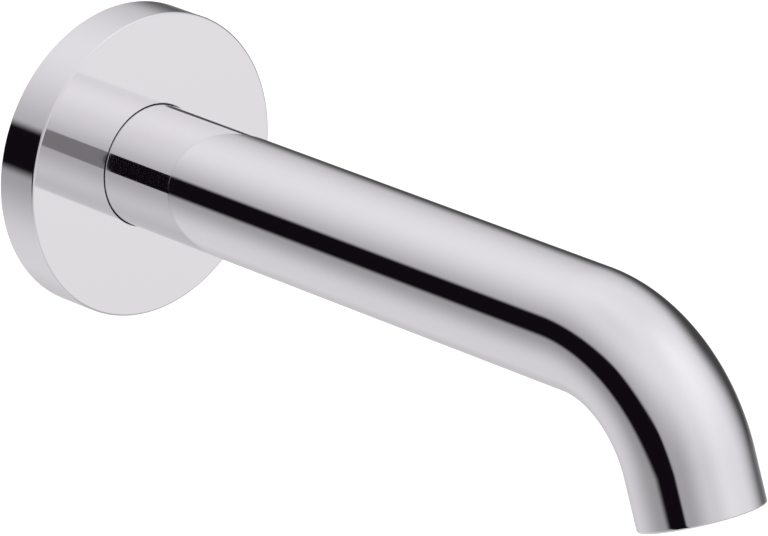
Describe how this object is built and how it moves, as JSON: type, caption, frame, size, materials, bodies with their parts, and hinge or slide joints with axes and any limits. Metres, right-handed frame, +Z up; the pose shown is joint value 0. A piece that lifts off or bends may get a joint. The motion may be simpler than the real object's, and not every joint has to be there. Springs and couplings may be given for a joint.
{
  "type": "bath spout",
  "caption": "Wall-mounted bath spout: a straight round tube bent down near its end, with a disc escutcheon at the wall and an aerator in its mouth.",
  "frame": {"origin": "on the axis of the straight tube, in the plane of the wall, where the back of the escutcheon and the nipple's flange rest", "axes": "-Y out of the wall along the straight tube, +Y into the wall along the nipple's thread, +Z up, +X to the right of someone who faces the wall"},
  "size_m": [0.07, 0.2105, 0.0719],
  "materials": {
    "chrome": "bright polished chrome plate on brass",
    "brass": "turned, unplated",
    "rubber": "moulded, matt black",
    "steel": "stainless steel, as drawn",
    "plastic": "moulded, light grey"
  },
  "bodies": {
    "root": {"spout_tube": "chrome", "escutcheon": "chrome", "escutcheon_ring": "rubber", "wall_seal": "rubber", "connection_nipple": "brass", "nipple_ring_rear": "rubber", "nipple_ring_front": "rubber", "socket_bush": "brass", "grub_screw": "steel", "outlet_bush": "brass", "outlet_seal": "rubber", "aerator_housing": "plastic", "outlet_grid": "plastic", "lower_screen": "steel", "upper_screen": "steel", "jet_plate": "plastic", "strainer": "plastic"}
  },
  "joints": []
}
